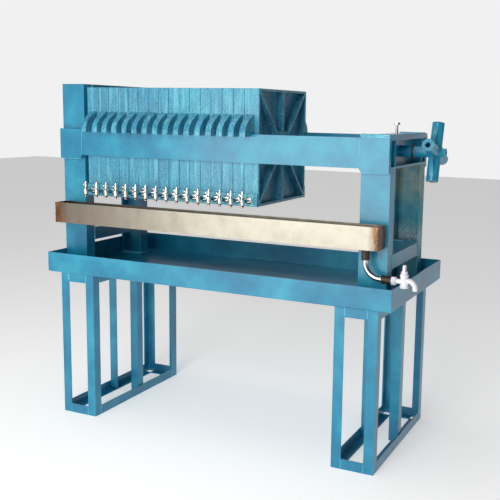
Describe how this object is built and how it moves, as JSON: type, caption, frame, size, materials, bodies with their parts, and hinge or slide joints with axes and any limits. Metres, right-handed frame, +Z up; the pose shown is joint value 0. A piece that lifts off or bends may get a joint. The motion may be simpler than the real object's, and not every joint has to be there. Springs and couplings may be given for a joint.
{
  "type": "plate filter press",
  "caption": "Screw-operated plate filter press with ribbed follower, capstan, filtrate trough with cocks and drip tray, on two angle-iron stands.",
  "frame": {"origin": "on the floor, under the middle of the bounding box", "axes": "+X along the press from the fixed head to the screw head, +Y to the back, +Z up; the trough and its cocks are on the -Y side"},
  "size_m": [1.6434, 0.68, 1.436],
  "materials": {
    "painted_steel": "gloss",
    "painted_casting": "gloss",
    "stainless_sheet": "brushed",
    "chromed_brass": "polished",
    "white_plastic": "gloss",
    "iron_fitting": "matte",
    "steel_pipe": "satin",
    "screw_steel": "satin",
    "zinc_plated_steel": "satin"
  },
  "bodies": {
    "press_frame": {"back_side_bar": "painted_steel", "bar_end_collars": "painted_steel", "drip_tray": "painted_steel", "feed_inlet": "painted_steel", "filter_plate_01": "painted_casting", "filter_plate_02": "painted_casting", "filter_plate_03": "painted_casting", "filter_plate_04": "painted_casting", "filter_plate_05": "painted_casting", "filter_plate_06": "painted_casting", "filter_plate_07": "painted_casting", "filter_plate_08": "painted_casting", "filter_plate_09": "painted_casting", "filter_plate_10": "painted_casting", "filter_plate_11": "painted_casting", "filter_plate_12": "painted_casting", "filter_plate_13": "painted_casting", "filter_plate_14": "painted_casting", "filtrate_cocks": "chromed_brass", "filtrate_trough": "stainless_sheet", "fixed_end_plate": "painted_casting", "fixed_head_back_post": "painted_steel", "fixed_head_foot_plates": "painted_steel", "fixed_head_front_post": "painted_steel", "fixed_head_lower_cross": "painted_steel", "fixed_head_top_cross": "painted_steel", "front_side_bar": "painted_steel", "left_stand_end_rails": "painted_steel", "left_stand_side_rails": "painted_steel", "left_stand_uprights": "painted_steel", "lock_bolt": "zinc_plated_steel", "outlet_bend": "steel_pipe", "outlet_socket": "iron_fitting", "right_stand_end_rails": "painted_steel", "right_stand_side_rails": "painted_steel", "right_stand_uprights": "painted_steel", "screw_head_back_post": "painted_steel", "screw_head_bridge": "painted_steel", "screw_head_cover": "painted_steel", "screw_head_foot_plates": "painted_steel", "screw_head_front_post": "painted_steel", "screw_head_lower_cross": "painted_steel", "screw_nut": "painted_steel", "tap_body": "white_plastic", "tap_socket": "iron_fitting", "trough_brackets": "stainless_sheet"},
    "follower": {"follower_plate": "painted_casting", "follower_cock": "chromed_brass", "screw_retainer": "painted_steel"},
    "screw_and_capstan": {"screw": "screw_steel", "screw_collar": "painted_steel", "capstan": "painted_steel", "capstan_nut": "painted_steel"},
    "tap_handle": {"tap_handle": "white_plastic"}
  },
  "joints": [
    {"name": "follower_slide", "type": "slide", "parent": "press_frame", "child": "follower", "axis": [1, 0, 0], "range_m": [0, 0.4]},
    {"name": "screw_turn", "type": "hinge", "parent": "follower", "child": "screw_and_capstan", "pos_m": [0.77965, 0, 1.192], "axis": [1, 0, 0], "range_deg": [0, 24000]},
    {"name": "tap_turn", "type": "hinge", "parent": "press_frame", "child": "tap_handle", "pos_m": [0.75815, -0.273, 0.737], "axis": [0, 0, 1], "range_deg": [0, 90]}
  ],
  "couplings": [
    {"joint": "follower_slide", "follows": "screw_turn", "m_per_rad": 0.00095493}
  ]
}
